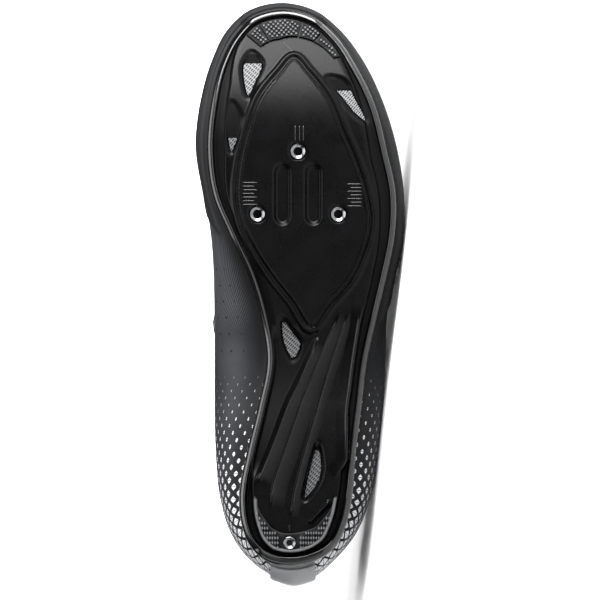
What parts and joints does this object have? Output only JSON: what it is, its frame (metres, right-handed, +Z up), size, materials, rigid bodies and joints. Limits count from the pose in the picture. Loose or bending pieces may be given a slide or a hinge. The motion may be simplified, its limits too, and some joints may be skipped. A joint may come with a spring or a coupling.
{
  "type": "cycling shoe",
  "caption": "Left road cycling shoe with a stiff composite sole, cleat field, rubber toe and heel pads, hollow upper, padded tongue and straps, lying on its outer side.",
  "frame": {"origin": "middle of the box round the shoe, at the floor it lies on", "axes": "+X from heel to toe, -Y the way the sole faces, +Z up from the floor; the shoe lies on its outer side"},
  "size_m": [0.2834, 0.1056, 0.1065],
  "materials": {
    "composite": "satin moulded composite",
    "pad_rubber": "matte",
    "insert_metal": "bright turned",
    "screen_mesh": "fine silver woven screen",
    "foot_bed": "brushed knit on foam",
    "shell": "matte grained synthetic",
    "padding": "fine mesh over foam",
    "webbing": "hook-and-loop strap",
    "tab_panel": "smooth satin film"
  },
  "bodies": {
    "root": {"outsole": "composite", "toe_pad": "pad_rubber", "heel_pad": "pad_rubber", "heel_screw": "insert_metal", "cleat_insert_front": "insert_metal", "cleat_insert_medial": "insert_metal", "cleat_insert_lateral": "insert_metal", "vent_screen_1": "screen_mesh", "vent_screen_2": "screen_mesh", "vent_screen_3": "screen_mesh", "vent_screen_4": "screen_mesh", "vent_screen_5": "screen_mesh", "insole": "foot_bed", "upper": "shell", "tongue": "padding", "strap_1": "webbing", "strap_2": "webbing", "strap_3": "webbing", "heel_tab": "tab_panel"}
  },
  "joints": []
}
